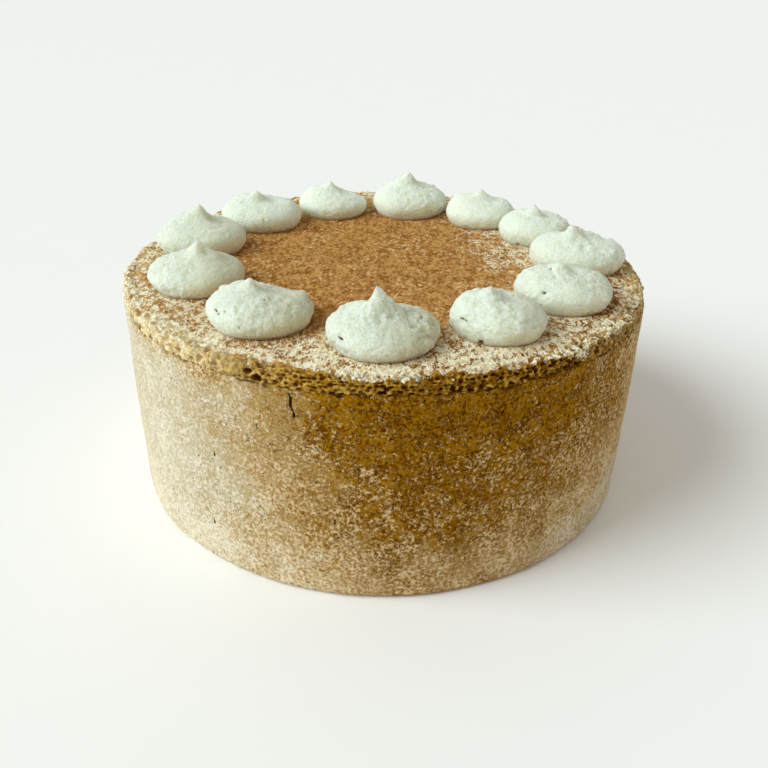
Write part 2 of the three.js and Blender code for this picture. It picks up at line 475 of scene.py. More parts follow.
def crumb_finish():
    """Open sponge crumb: pale walls between pores, with painted shade that deepens into them, dusted from
    above.
    """
    f = Finish("sponge_crumb", POWDER_GRAIN)
    pore_shade = f.mask("pore_shade")
    walls = f.mix(CRUMB_GOLD, CRUMB_PALE, f.step(f.noise(1.1, 3, 0.6), 0.4, 0.62))
    # darker soaked crumb, and painted shade on the front and right
    soaked_and_shaded = f.mask("soaked_and_shaded")
    walls = f.mix(walls, CRUMB_SOAKED_AND_SHADED, soaked_and_shaded * f.step(f.noise(1.7, 2), 0.38, 0.58))
    inside = f.mix(PORE_BROWN, PORE_SOAKED_AND_SHADED, soaked_and_shaded)
    # dust on the left, paler partly as painted light, also lightens the pores there
    dusted = f.mask("film")
    inside = f.mix(inside, PORE_DUSTED_AND_LIT, dusted)
    # painted shade deepening into the pores
    colour = f.mix(walls, inside, f.step(pore_shade, 0.1, 0.75))
    powdered = dusted * f.step(f.noise(3.2, 3, 0.6), 0.28, 0.48)
    colour = f.mix(colour, CRUMB_DUSTED, powdered * (1 - pore_shade * 0.9))
    colour = f.mix(colour, cocoa_powder(f), f.mask("cocoa") * 0.6)
    white, powder = sugar_powder(f, f.mask("sugar"))
    colour = f.mix(colour, powder, white * (1 - pore_shade * 0.75))
    height = f.noise(0.5, 3) * 0.6 + f.noise(1.1, 2) * 0.5 + white * 0.3
    return f.done(colour, 0.95 - f.noise(2) * 0.1, height, 0.35 * MM, Specular_IOR_Level=0.0)


def dusted_top_finish():
    """Cocoa powder in the middle and icing sugar round it, sieved over each other."""
    f = Finish("dusted_top", POWDER_GRAIN)
    sugar = f.mask("sugar")
    white, powder = sugar_powder(f, sugar)
    powder = f.mix(SUGAR_THIN, powder, f.step(sugar, 0.2, 0.58))
    # crumb showing between the grains, and painted shade at the front and right
    bare_and_shade = f.mix(cocoa_powder(f), CRUMB_SOAKED_AND_SHADED, f.mask("bare_and_shade") * f.step(f.noise(1.2, 2), 0.36, 0.6))
    colour = f.mix(bare_and_shade, powder, white * f.step(sugar, -0.3, 0.75))
    # painted contact shadow round the dollops' feet
    colour = f.mix(colour, CONTACT_SHADOW_BROWN, f.mask("foot") * 0.85)
    height = f.noise(0.6, 2) * 0.5 + white * 0.4 + f.noise(1.3, 2) * 0.3
    return f.done(colour, 0.95 - white * 0.1, height, 0.45 * MM, Specular_IOR_Level=0.0)


def cream_finish():
    """Matte whipped cream: cool white with a curdled grain; painted shade on the right, painted warm bounce
    light low down, a brown stain with painted bounce light at the foot, and painted shade in fine air pits
    and holes.
    """
    f = Finish("cream")
    pit = f.mask("pit")
    low = f.mask("low")
    near, draw = f.cells(1.6)
    hole = f.step(near, 0.2, 0.08) * f.step(draw, 0.55, 0.6)
    # painted shade on the right of some dollops
    colour = f.mix(CREAM, CREAM_SHADE, f.mask("shade"))
    # painted warm bounce light low down, heavier on the shaded right
    colour = f.mix(colour, CREAM_WARM_BOUNCE, low * 0.4 + f.noise(5, 2) * 0.1)
    # brown stain and painted warm bounce light at the foot
    colour = f.mix(colour, CREAM_FOOT_STAIN_AND_BOUNCE, f.mask("foot") * f.step(f.noise(1.2, 2), 0.3, 0.6))
    # painted shade in the fine air pits, and random grey flecks
    colour = f.mix(colour, CREAM_GREY, hole * 0.5 + f.step(f.noise(0.8, 2, 0.6), 0.52, 0.66) * 0.22)
    # painted shade in the holes
    colour = f.mix(colour, CREAM_HOLE_SHADE, pit)
    height = (f.noise(1.0, 3, 0.6) * 0.7 + f.noise(2.4, 2) * 0.4 - hole * 0.3) * f.mask("grain")
    soft = {"Subsurface_Weight": 0.8, "Subsurface_Scale": 6.5 * MM, "Subsurface_Radius": (1.0, 0.85, 0.6)}
    return f.done(colour, 0.7 + f.noise(1.2) * 0.15, height, 1.4 * MM, Specular_IOR_Level=0.2, **soft)


def grain_finish(name, first, second):
    """Powder grains and crumbs, each a little different."""
    f = Finish(name)
    colour = f.mix(first, second, f.step(f.noise(0.9, 2), 0.38, 0.62))
    return f.done(colour, 0.9 - f.noise(0.5) * 0.1, f.noise(0.15, 2), 0.05 * MM, Specular_IOR_Level=0.25)


def give(piece, material, slot, *nodes):
    """Puts a finish on a piece and sets it in the frame."""
    piece.data.materials.append(material)
    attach(piece, "root")
    if nodes:
        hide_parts(*nodes)


# Seam between skin and crumb

SEAM_SEED = 18
SEAM_HOLES = [  # azimuth, height, width, tallness and depth of the gaps at the seam; millimetres
    (-96.9, 78.6, 1.6, 1.1, 2.4),
    (-92.7, 78.7, 1.9, 0.7, 2.2),
    (-89.8, 80.0, 1.5, 0.7, 1.8),
    (-87.3, 79.2, 0.8, 0.5, 1.6),
    (-71.0, 78.8, 1.7, 0.8, 2.2),
    (-66.8, 79.4, 1.3, 0.8, 2.0),
    (-62.2, 79.1, 1.0, 0.6, 1.6),
    (-52.0, 79.9, 0.8, 0.8, 1.8),
    (-52.9, 82.6, 0.8, 1.0, 1.8),
    (-112.1, 80.6, 1.9, 1.3, 2.6),
    (-110.0, 79.0, 1.7, 1.0, 2.4),
    (-113.9, 82.6, 1.5, 1.2, 2.0),
    (-120.2, 78.4, 0.9, 0.8, 1.8),
    (-140.5, 78.9, 1.0, 1.6, 2.2),
    (-101.8, 79.0, 1.2, 0.7, 1.8),
    (-77.4, 79.4, 0.9, 0.5, 1.4),
]
MORE_HOLES = 34  # seeded gaps on the rest of the seam
SEAM_HOLES += seeded_rows(SEAM_SEED, MORE_HOLES, (-40, 78.6, 0.7, 0.5, 1.4), (215, 81.2, 1.8, 1.1, 2.4))


def seam_gaps(angle):
    """1 where the skin has come away from the crumb, at the largest gaps of the seam."""
    gaps = np.zeros(len(angle))
    for azimuth, height, width, _, deepness in SEAM_HOLES:
        across = round_from(angle, azimuth) / width
        open_here = smooth_step(80, 79, height) * smooth_step(1.7, 2.3, deepness)
        gaps = np.maximum(gaps, open_here * np.exp(-(across**4)))
    return gaps


# Cake wall

# In the masks, places round the cake are in degrees from the front and heights in millimetres

WALL_STEPS = 62
WALL_PARTS = 20
WALL_ROWS = 68
SKIN_LIP = 0.6 * MM  # the skin stands this far up round the crumb
SKIN_EDGE = 0.4 * MM  # half the skin's thickness at its upper edge
LIP_REACH = 3 * MM  # the lip is level this far in from the wall
LIP_FOOT = 5 * MM  # and meets the body's top this far in
SKIN_SEED = 3
CRACK_SEED = 21
DRIFT_SEED = 31
LIP_SEED = 41
CRACK_DEPTH = 0.5 * MM
CRACKS = [  # azimuth and height of the upper end, length, slant in degrees and width; millimetres
    (-106.1, 77.5, 8.5, 10, 0.55),
    (-112.9, 64.3, 2.6, 14, 0.4),
    (-68.0, 71.0, 2.4, -20, 0.4),
    (-49.6, 59.0, 2.4, 0, 0.45),
    (-98.3, 33.0, 2.0, 5, 0.45),
    (-98.0, 27.0, 1.6, 25, 0.5),
    (-122.9, 48.4, 2.2, 0, 0.5),
    (-85.3, 40.0, 1.4, 30, 0.5),
    (-80.4, 47.0, 1.2, -30, 0.5),
    (-124.8, 19.0, 2.5, -15, 0.45),
]
MORE_CRACKS = 26  # short ones on the rest of the wall
CRACKS += seeded_rows(CRACK_SEED, MORE_CRACKS, (-20, 8, 1.2, -40, 0.4), (200, 72, 3.0, 40, 0.6))
DUST_PATCHES = [  # azimuth, height and size of the whitest patches; millimetres
    (-119.5, 64, 2.5),
    (-71, 69.5, 1.6),
    (-92.6, 53, 2.6),
    (-96.2, 47, 2.2),
    (-83.4, 33.4, 1.6),
    (-65.4, 10, 2.5),
    (-83.9, 10.3, 2.2),
    (-108.4, 49, 2.6),
    (-104.8, 36.6, 1.8),
    (-51.1, 26.2, 2.0),
]


def wall_offset(angle, height):
    """How far the wrapped wall stands out from a true cylinder, in long waves."""
    rise = height / CAKE_TOP
    return WALL_UNEVEN * sum(s * np.sin(n * angle + a + c * rise) for n, s, a, c in WALL_WAVES)


def wall_relief(places):
    """Soft lumps and fine wrinkles of the baked skin."""
    soft = layered_lumps(places * (1, 1, 0.7), SKIN_SEED, (0.28 * MM, 17), (0.16 * MM, 6))
    return soft + 0.09 * MM * lumps(places, 2.3 * MM, SKIN_SEED + 2)


def wall_growth(places):
    """How far the wall stands out from a true cylinder: its bulge, long waves and wrinkles."""
    height = places[:, 2]
    bulge = WALL_BULGE * np.sin(math.pi * np.clip(height / WALL_TOP, 0, 1))
    return bulge + wall_offset(angle_of(places), height) + wall_relief(places)


def crack_mask(places):
    """1 on a crack's wandering line, falling to 0 beside it."""
    angle = angle_of(places)
    mask = np.zeros(len(places))
    for azimuth, top, length, slant, width in CRACKS:
        down = top - places[:, 2] / MM
        line = np.tan(np.radians(slant)) * down + 0.32 * np.sin(down * 1.1)
        ends = smooth_step(-0.6, 0.4, down) * smooth_step(length + 0.6, length - 0.4, down)
        strength = ends * min(1, 0.75 + length / 8)
        mask = np.maximum(mask, bell(round_from(angle, azimuth), line, width) * strength)
    return mask


def dust_sides(places):
    """Shares of the wall that are dusty on the left, on the right, round the back and near the base."""
    from_front = turn_from_front(places)
    back = smooth_step(95, 170, abs(from_front))
    left = smooth_step(8, -50, from_front) * (1 - back)
    right = smooth_step(24, 72, from_front) * (1 - back)
    low = smooth_step(44, 0, places[:, 2] / MM)
    return left, right, back, low


def dust_patches(places):
    """The whitest patches of sugar, broken up."""
    patches = np.zeros(len(places))
    for azimuth, height, size in DUST_PATCHES:
        away = np.hypot(round_from(angle_of(places), azimuth), places[:, 2] / MM - height)
        patches += bell(away, 0, size)
    return patches * (0.12 + 0.2 * lumps(places, 1.6 * MM, DRIFT_SEED + 4))


def dust_mask(places):
    """How thickly sugar lies on the wall."""
    left, right, back, low = dust_sides(places)
    side = 0.32 * left + 0.24 * right + 0.2 * back
    clean = bell(turn_from_front(places), 10, 36) * smooth_step(46, 70, places[:, 2] / MM)
    drifts = layered_lumps(places, DRIFT_SEED, (0.3, 15), (0.45, 5))
    drifts = drifts + 0.3 * lumps(places, 2.5 * MM, DRIFT_SEED + 3)
    dust = 0.24 + 0.18 * low + side - 0.2 * clean + 0.22 * drifts
    return np.clip(dust + dust_patches(places), 0, 1)


def film_and_light_mask(places):
    """The thin even coat of sugar below the patches; it is thickest on the left, where it also stands in for
    the brighter light (painted light).
    """
    left, right, back, low = dust_sides(places)
    from_front = turn_from_front(places)
    height = places[:, 2] / MM
    far_left = smooth_step(-30, -80, from_front)
    far_right = smooth_step(58, 78, from_front)
    upper_left = smooth_step(-14, -40, from_front) * smooth_step(68, 80, height)
    lower_left = left * smooth_step(62, 28, height)
    lower_right = smooth_step(8, 40, from_front) * smooth_step(62, 22, height)
    below_rim = bell(from_front, 4, 22) * smooth_step(52, 78, height)
    by_the_crack = bell(from_front, -21, 9) * smooth_step(58, 74, height)
    sides = 0.17 * far_left + 0.09 * far_right - 0.3 * upper_left + 0.12 * lower_right
    film = 0.69 * left + 0.2 * right + 0.35 * back + low * (0.28 - 0.5 * left)
    film = film + sides * (1 - back) + 0.09 * lower_left - 0.12 * below_rim + 0.1 * by_the_crack
    return np.clip(film + 0.1 * lumps(places, 9 * MM, DRIFT_SEED + 2) - 0.04, 0, 0.9)


def wall_profile():
    """The wall's outline, closed over the base and over the body's top."""
    low = round_edge(CAKE_RADIUS - BASE_ROUND, BASE_ROUND, BASE_ROUND, -90, 0, 3)
    lip = round_edge(CAKE_RADIUS - SKIN_EDGE, WALL_TOP + SKIN_LIP - SKIN_EDGE, SKIN_EDGE, 0, 90, 4)
    lip.append((CAKE_RADIUS - LIP_REACH, WALL_TOP + SKIN_LIP))
    wall = along(low[-1], lip[0], WALL_ROWS)
    return [(0, 0), *low, *wall, *lip[1:], (CAKE_RADIUS - LIP_FOOT, WALL_TOP), (0, WALL_TOP)]


def lip_unevenness(places):
    """How far the skin's ragged upper edge rises, in millimetres: it dips on the left and at the gaps."""
    left = dust_sides(places)[0]
    ragged = layered_lumps(places * (1, 1, 0), LIP_SEED, (0.6, 4), (0.5, 1.6))
    return ragged * (1 + 0.9 * left) - 0.4 * left - seam_gaps(angle_of(places))


def cake_wall():
    piece = turned_piece("cake_wall", wall_profile(), WALL_STEPS, WALL_PARTS)
    mesh = piece.data
    places = read_places(mesh)
    height = places[:, 2]
    radius = radius_of(places)
    on_wall = smooth_step(CAKE_RADIUS - 2 * MM, CAKE_RADIUS - 0.5 * MM, radius)
    on_wall = on_wall * smooth_step(0, 2 * MM, height)
    on_lip = smooth_step(WALL_TOP - 3 * MM, WALL_TOP, height) * smooth_step(90 * MM, 98 * MM, radius)
    crack = crack_mask(places) * on_wall
    write_mask(mesh, "crack", crack)
    write_mask(mesh, "dust", dust_mask(places))
    # sugar film, thickest on the left where it also stands in for the brighter light (painted light)
    write_mask(mesh, "film", film_and_light_mask(places))
    grow = wall_growth(places) - CRACK_DEPTH * crack
    lift = on_lip * lip_unevenness(places) * MM
    places[:, :2] *= (1 + on_wall * grow / np.maximum(radius, MM))[:, None]
    places[:, 2] += lift
    write_places(mesh, places)
    return piece


# Crumb rim

RIM_STEPS = 95
RIM_PARTS = 20
RIM_INNER = 86 * MM
RIM_FACE = 90 * MM  # the fine part of the ring's top starts here
RIM_SET_BACK = 0.35 * MM
RIM_LUMPS = 0.85 * MM
CRUMB_START = 91.5 * MM  # the ring turns from smooth to crumb between these distances from the axis
CRUMB_FULL = 96 * MM
FACE_FOOT = 3  # points of the ring's outline between which it has pores
FACE_END = -4
PORE_PITCH = 2.0 * MM
PORE_ROWS = 0.8 * PORE_PITCH
PORE_SEED = 17
CRAG_SEED = 19
RIM_SEED = 51
EDGE_SEED = 65
RIM_SWELLS = [  # azimuth, distance along the outline from the foot, half width, half length, how far out
    (-117.2, 4.4, 3.9, 3.0, 2.1),
    (-114.2, 2.4, 2.4, 1.5, 1.3),
    (-121.5, 3.6, 2.0, 1.8, 0.9),
    (-80.4, 8.6, 1.7, 1.3, 1.3),
    (-76.4, 8.4, 2.2, 1.3, 1.2),
    (-68.2, 7.4, 1.5, 1.3, 1.2),
    (-60.5, 6.6, 2.4, 1.5, 0.8),
    (-84.5, 6.0, 1.6, 1.4, 0.7),
    (-131, 5.5, 3.0, 2.0, 0.8),
]
MORE_SWELLS = 60  # seeded crags all round
RIM_SWELLS += seeded_rows(CRAG_SEED, MORE_SWELLS, (-180, 4.5, 0.8, 0.7, 0.2), (180, 9.5, 2.2, 1.6, 0.9))
BARE_SPOTS = [  # where sugar ends short of the edge: degrees from the front, half width, millimetres short
    (-18, 9, 4.0),
    (-36, 7, 1.2),
    (-27, 4, 2.4),
    (9.6, 2, 3.4),
    (13.6, 2.6, 3.6),
    (22, 2, 2.6),
]


def rim_profile():
    """The ring's outline: flat below, rounded at both outer edges, and fine where the crumb shows."""
    low = DISC_BASE - 1.8 * MM
    under = [
        (CAKE_RADIUS - 1.3 * MM, low),
        (CAKE_RADIUS - 1.1 * MM, DISC_BASE - 0.6 * MM),
        (CAKE_RADIUS - 0.4 * MM, DISC_BASE - 0.1 * MM),
        (CAKE_RADIUS, DISC_BASE + 0.5 * MM),
    ]
    over = round_edge(CAKE_RADIUS - RIM_TOP_ROUND, CAKE_TOP - RIM_TOP_ROUND, RIM_TOP_ROUND, 0, 90, 11)
    face = along(under[-1], over[0], 9)
    top = along(over[-1], (RIM_FACE, CAKE_TOP - 0.05 * MM), 22)
    inner = along(top[-1], (RIM_INNER, CAKE_TOP - 0.6 * MM), 2)
    return [(RIM_INNER, low), *under, *face, *over[1:], *top, *inner]


def profile_lengths(places, profile):
    """Distance along the ring's outline of each place, and of each point of the outline."""
    points = np.array(profile)
    lengths = np.concatenate([[0], np.cumsum(np.linalg.norm(np.diff(points, axis=0), axis=1))])
    flat = np.stack([radius_of(places), places[:, 2]], 1)
    row = np.argmin(((flat[:, None] - points[None]) ** 2).sum(2), axis=1)
    return lengths[row], lengths


def dig_pores(depth, angle, length, pores):
    """Deepens the places in each pore: a row of angle, length along, half width, half height and depth."""
    order = np.argsort(angle)
    sorted_angle = angle[order]
    for middle, across, wide, tall, deep in pores:
        reach = wide / CAKE_RADIUS
        for shift in (-TURN, 0, TURN):
            first, last = np.searchsorted(sorted_angle, (middle + shift - reach, middle + shift + reach))
            spots = order[first:last]
            aside = (angle[spots] - middle - shift) / reach
            upward = (length[spots] - across) / tall
            bowl = np.sqrt(np.clip(1 - aside**2 - upward**2, 0, 1))
            depth[spots] = np.maximum(depth[spots], deep * bowl)


def rim_pores(lengths):
    """Close rows of round pores on the cut crumb."""
    rng = np.random.default_rng(PORE_SEED)
    count = round(TURN * CAKE_RADIUS / PORE_PITCH)
    pores = []
    for row, across in enumerate(np.arange(lengths[FACE_FOOT] + 0.6 * MM, lengths[FACE_END], PORE_ROWS)):
        angle = (np.arange(count) + row % 2 / 2 + rng.uniform(-0.3, 0.3, count)) * TURN / count - math.pi
        wide = PORE_PITCH * (0.24 + 0.36 * rng.random(count))
        tall = wide * rng.uniform(0.6, 1.0, count)
        deep = wide * rng.uniform(0.6, 1.2, count)
        pores += zip(angle, across + rng.uniform(-0.25, 0.25, count) * PORE_PITCH, wide, tall, deep)
    return pores


def seam_pores(lengths):
    """The gaps at the seam, as pores."""
    pores = []
    for azimuth, height, width, tallness, deepness in SEAM_HOLES:
        up = lengths[FACE_FOOT] + (height * MM - DISC_BASE)
        pores.append((math.radians(azimuth), up, width * MM, tallness * MM, deepness * MM))
    return pores


def rim_hollows(angle, length, lengths, still_open):
    """Depth of the rim's pores, as far as they are still open, and of the gaps at the seam."""
    depth = np.zeros(len(angle))
    dig_pores(depth, angle, length, rim_pores(lengths))
    depth = depth * still_open
    dig_pores(depth, angle, length, seam_pores(lengths))
    return depth


def rim_crags(angle, length, lengths):
    """How far torn crags of the rim stand out, in millimetres."""
    out = np.zeros(len(angle))
    for azimuth, middle, wide, tall, stand in RIM_SWELLS:
        across = round_from(angle, azimuth) / wide
        upward = ((length - lengths[FACE_FOOT]) / MM - middle) / tall
        out = np.maximum(out, stand * np.exp(-(across**4) - upward**4))
    return out


def rim_lumps(places, crumbly, dusted, craggy):
    """Unevenness of the rim: more of it where dust lies and on the crags."""
    lumpy = layered_lumps(places, RIM_SEED, (0.5, 5), (0.4, 2.2), (0.25, 1))
    lumpy = lumpy + dusted * (0.7 * lumps(places, 3.4 * MM, RIM_SEED + 3) + 0.45 * crumbly)
    return lumpy + craggy * (0.6 * lumps(places, 2.6 * MM, RIM_SEED + 5) + 0.4 * crumbly)


def dust_edge(places):
    """How far out sugar covers the crumb, in millimetres from the axis and on down the rim's face."""
    from_front = turn_from_front(places)
    bare_and_shade = sum(short * bell(from_front, middle, width) for middle, width, short in BARE_SPOTS)
    spill = 4 * smooth_step(-40, -52, from_front) + 6 * bell(from_front, 41, 3)
    spill = spill + 3 * smooth_step(42, 60, from_front)
    return 98.4 - bare_and_shade + spill + layered_lumps(places * (1, 1, 0), EDGE_SEED, (1.0, 5), (0.8, 2))


def rim_sugar(places):
    """How much sugar lies on the rim: as much as on the top, and fading out over its edge."""
    out = (radius_of(places) + CAKE_TOP - places[:, 2]) / MM
    fade = smooth_step(2.6, -2.2, out - dust_edge(places))
    left, right, back, _ = dust_sides(places)
    cling = 0.04 + 0.38 * left**2 + 0.12 * right + 0.12 * back
    return np.clip(cling + fade * (sugar_cover(places) + 0.06 - cling), 0, 1)


def rim_soaked_and_shaded(places):
    """How dark soaked crumb is to the right of the front, which is also painted shade on the side away from
    the light.
    """
    from_front = turn_from_front(places)
    return smooth_step(-14, 12, from_front) * smooth_step(110, 50, from_front) * 0.85


def rim_film_and_light(places):
    """How pale dust makes the crumb: most on the left, a little on the right and round the back. The
    paleness on the left is partly painted light, where the light is brightest.
    """
    from_front = turn_from_front(places)
    left = 0.2 * smooth_step(-12, -28, from_front) + 0.5 * smooth_step(-26.5, -33.5, from_front)
    left = left + 0.3 * smooth_step(-40, -58, from_front)
    left = left * smooth_step(-140, -105, from_front)
    return 0.95 * left + 0.3 * smooth_step(30, 75, abs(from_front)) * (1 - left)


def powdery_edge(places, normals):
    """1 on the far left, where the powder runs out to the edge of the top."""
    return smooth_step(-42, -62, turn_from_front(places)) * smooth_step(0.35, 0.8, normals[:, 2])


def crumb_rim():
    profile = rim_profile()
    piece = turned_piece("crumb_rim", profile, RIM_STEPS, RIM_PARTS, loop=True)
    mesh = piece.data
    places = read_places(mesh)
    normals = read_normals(mesh)
    angle = angle_of(places)
    radius = radius_of(places)
    length, lengths = profile_lengths(places, profile)
    dusted = rim_film_and_light(places)
    crags = rim_crags(angle, length, lengths)
    craggy = smooth_step(0.8, 1.6, crags)
    still_open = (1 - 0.65 * dusted) * (1 - 0.8 * smooth_step(1.0, 1.8, crags))
    depth = rim_hollows(angle, length, lengths, still_open)
    crumbly = lumps(places, 1.5 * MM, RIM_SEED + 4)
    # painted shade in the hollows between crumb lumps where dust lies
    between = 0.9 * dusted * smooth_step(0.05, 0.45, -crumbly)
    outer = smooth_step(CRUMB_START, CRUMB_FULL, radius)
    pores = np.clip(outer * np.maximum(depth / MM, between), 0, 1)
    powdery = powdery_edge(places, normals)
    # painted shade that deepens into the pores and hollows
    write_mask(mesh, "pore_shade", pores * (1 - 0.6 * powdery))
    write_mask(mesh, "sugar", rim_sugar(places))
    # paleness of dust, partly painted light on the left
    write_mask(mesh, "film", dusted * (1 - smooth_step(0.9, 1.6, depth / MM)) * (1 - 0.6 * powdery))
    write_mask(mesh, "cocoa", np.maximum(smooth_step(97 * MM, 93 * MM, radius), powdery))
    # darker soaked crumb and painted shade on the front and right, and a little on the crags
    write_mask(mesh, "soaked_and_shaded", np.maximum(rim_soaked_and_shaded(places), 0.25 * craggy))
    lumpy = rim_lumps(places, crumbly, dusted, craggy)
    grow = wall_offset(angle, places[:, 2]) - RIM_SET_BACK + RIM_LUMPS * lumpy - depth + crags * MM
    write_places(mesh, places + normals * (grow * outer)[:, None])
    return piece


# Crumbs at the rim

CRUMB_SEED = 57
RIM_CRUMBS = [  # azimuth, distance from the axis, height, half width and flatness; millimetres
    (-113.9, 97.6, 83.2, 1.0, 0.8),
    (-77.8, 98.4, 82.8, 0.8, 0.8),
    (-84, 98.7, 82.6, 0.8, 0.8),
]
MORE_CRUMBS = 26  # seeded small ones all round
RIM_CRUMBS += seeded_rows(CRUMB_SEED, MORE_CRUMBS, (-180, 92, 83.8, 0.3, 0.6), (180, 98, 84.1, 0.7, 0.9))


def rim_crumbs():
    """Torn bits of sponge that stand at the edge of the top."""
    bm = bmesh.new()
    for azimuth, far, height, size, flatness in RIM_CRUMBS:
        turn = math.radians(azimuth)
        spot = Vector((far * math.cos(turn), far * math.sin(turn), height)) * MM
        size = size * MM
        stretch = Matrix.Diagonal((size, size * 0.8, size * flatness, 1))
        place = Matrix.Translation(spot) @ Matrix.Rotation(turn + math.pi / 2, 4, "Z") @ stretch
        bmesh.ops.create_icosphere(bm, subdivisions=3, radius=1, matrix=place)
    piece = piece_from("rim_crumbs", bm)
    mesh = piece.data
    places = read_places(mesh)
    torn = layered_lumps(places, CRUMB_SEED + 1, (0.4, 1.1), (0.3, 0.6))
    # painted shade in the crumbs' hollows
    write_mask(mesh, "pore_shade", smooth_step(0.0, 0.5, -torn))
    write_mask(mesh, "sugar", np.full(len(places), 0.42))
    write_mask(mesh, "film", rim_film_and_light(places))
    write_mask(mesh, "cocoa", np.zeros(len(places)))
    write_mask(mesh, "soaked_and_shaded", 0.5 * rim_soaked_and_shaded(places))
    write_places(mesh, places + read_normals(mesh) * (torn * MM)[:, None])
    return piece


# Dusted top

TOP_STEPS = 340
TOP_REACH = 95 * MM
TOP_SKIRT = 3.5 * MM  # its edge runs down into the crumb
POWDER_EDGE = 93  # millimetres from the axis
DUST_SEED = 61


def sugar_cover(places):
    """How much of the top is white: little in the middle, most near the rim, with drifts."""
    radius = radius_of(places) / MM
    angle = angle_of(places)
    flat = places * (1, 1, 0)
    ring = smooth_step(48, 84, radius)
    right = bell(turn_between(angle, 0), 0, 60) * (bell(radius, 52, 26) - 0.3 * smooth_step(70, 85, radius))
    front = bell(turn_between(angle, FRONT), 6, 52) * smooth_step(60, 90, radius)
    left = bell(turn_between(angle, 180), 10, 50) * smooth_step(60, 80, radius)
    drifts = layered_lumps(flat, DUST_SEED, (0.5, 12), (0.6, 5))
    cover = 0.09 + 0.4 * ring + 0.36 * right + 0.13 * front + 0.02 * left + 0.2 * drifts
    return np.clip(cover + 0.1 * lumps(flat, 1.5 * MM, DUST_SEED + 2), 0, 1)


def bare_crumb_and_shade(places):
    """Where sponge shows between the grains near the rim, with painted shade: most at the front and right,
    away from the light.
    """
    radius = radius_of(places) / MM
    from_front = turn_from_front(places)
    side = smooth_step(-50, 30, from_front) * smooth_step(150, 110, from_front)
    return smooth_step(62, 86, radius) * (0.15 + 0.85 * side)


def dollop_contact_shadow(places):
    """1 below the dollops and just outside them, most on their right: painted contact shadow on the powder.
    """
    mask = np.zeros(len(places))
    for turn, ring, radius, *_ in DOLLOPS:
        azimuth = math.radians(FRONT + turn)
        middle = np.array((math.cos(azimuth), math.sin(azimuth))) * ring
        offset = places[:, :2] / MM - middle
        away = np.hypot(offset[:, 0], offset[:, 1] / FLATTENED) - radius * CONTACT
        side = 0.25 + 0.75 * smooth_step(-0.6, 0.5, (offset[:, 0] - 0.3 * offset[:, 1]) / radius)
        mask = np.maximum(mask, smooth_step(1.2, 0.3, away) * side)
    return mask


def top_height(places, cover):
    """Height of the powder: nearly level, and dipping into the crumb at its ragged edge."""
    radius = radius_of(places)
    flat = places * (1, 1, 0)
    ragged = layered_lumps(flat, DUST_SEED + 3, (0.8, 5), (0.7, 2))
    outside = smooth_step(-1.2, 1.0, radius / MM - POWDER_EDGE - ragged)
    level = layered_lumps(flat, DUST_SEED + 5, (0.22, 22), (0.1, 5))
    grain = 0.12 * lumps(flat, 1.3 * MM, DUST_SEED + 7) + 0.12 * cover
    inside = smooth_step(RIM_FACE, RIM_FACE - 4 * MM, radius)
    return CAKE_TOP + MM * (inside * level + grain + 0.1 - 1.8 * outside)


def dusted_top():
    bm = bmesh.new()
    bmesh.ops.create_grid(bm, x_segments=TOP_STEPS, y_segments=TOP_STEPS, size=TOP_REACH)
    outside = [v for v in bm.verts if math.hypot(v.co.x, v.co.y) > TOP_REACH]
    bmesh.ops.delete(bm, geom=outside, context="VERTS")
    count = len(bm.verts)
    border = [e for e in bm.edges if e.is_boundary]
    skirt = bmesh.ops.extrude_edge_only(bm, edges=border)["geom"]
    for vertex in (x for x in skirt if isinstance(x, bmesh.types.BMVert)):
        vertex.co.z = CAKE_TOP - TOP_SKIRT
    rim = [x for x in skirt if isinstance(x, bmesh.types.BMEdge) and x.is_boundary]
    bmesh.ops.contextual_create(bm, geom=rim)
    bmesh.ops.recalc_face_normals(bm, faces=bm.faces)
    piece = piece_from("dusted_top", bm)
    mesh = piece.data
    places = read_places(mesh)
    cover = sugar_cover(places)
    write_mask(mesh, "sugar", cover)
    write_mask(mesh, "bare_and_shade", bare_crumb_and_shade(places))
    # painted contact shadow round the dollops
    write_mask(mesh, "foot", dollop_contact_shadow(places))
    places[:count, 2] = top_height(places, cover)[:count]
    write_places(mesh, places)
    return piece


# Camera

CAMERA_AIM = Vector((0.8, 0, 28)) * MM
CAMERA_DISTANCE = 350 * MM
CAMERA_PITCH = math.radians(29)
CAMERA_ROLL = math.radians(0.96)
CAMERA_LENS = 38.1  # millimetres, as is the sensor's width
CAMERA_SENSOR = 36


def camera_axes():
    """Directions to the right of the picture, up in it and back to the camera, which rolls slightly."""
    back = Vector((0, -math.cos(CAMERA_PITCH), math.sin(CAMERA_PITCH)))
    right = Vector((1, 0, 0))
    up = back.cross(right)
    tilted_right = right * math.cos(CAMERA_ROLL) + up * math.sin(CAMERA_ROLL)
    tilted_up = up * math.cos(CAMERA_ROLL) - right * math.sin(CAMERA_ROLL)
    return tilted_right, tilted_up, back


def photo_camera():
    """The camera at the photograph's place."""
    right, up, back = camera_axes()
    data = bpy.data.cameras.new("camera")
    data.lens = CAMERA_LENS
    data.sensor_width = CAMERA_SENSOR
    data.clip_start = 0.01
    camera = put_in_scene("camera", data)
    turned = Matrix((right, up, back)).transposed().to_4x4()
    camera.matrix_world = Matrix.Translation(CAMERA_AIM + back * CAMERA_DISTANCE) @ turned
    bpy.context.scene.camera = camera


# Cream dollops

DOLLOP_STEPS = 32
DOLLOP_PARTS = 8
DOLLOP_ROWS = 100
BELLY_ROWS = 10
POWDER_DEPTH = 0.3 * MM  # dollops stand on the powder, this far above the cake's top
SINK = 0.6 * MM  # and lie this far into it
FOOT_ROUND = 0.97  # the flat of the foot, as a share of where it meets the powder
FULLER_DOME = 0.65  # how much of a narrow tip's lost cream the dome takes up
CREAM_SEED = 71

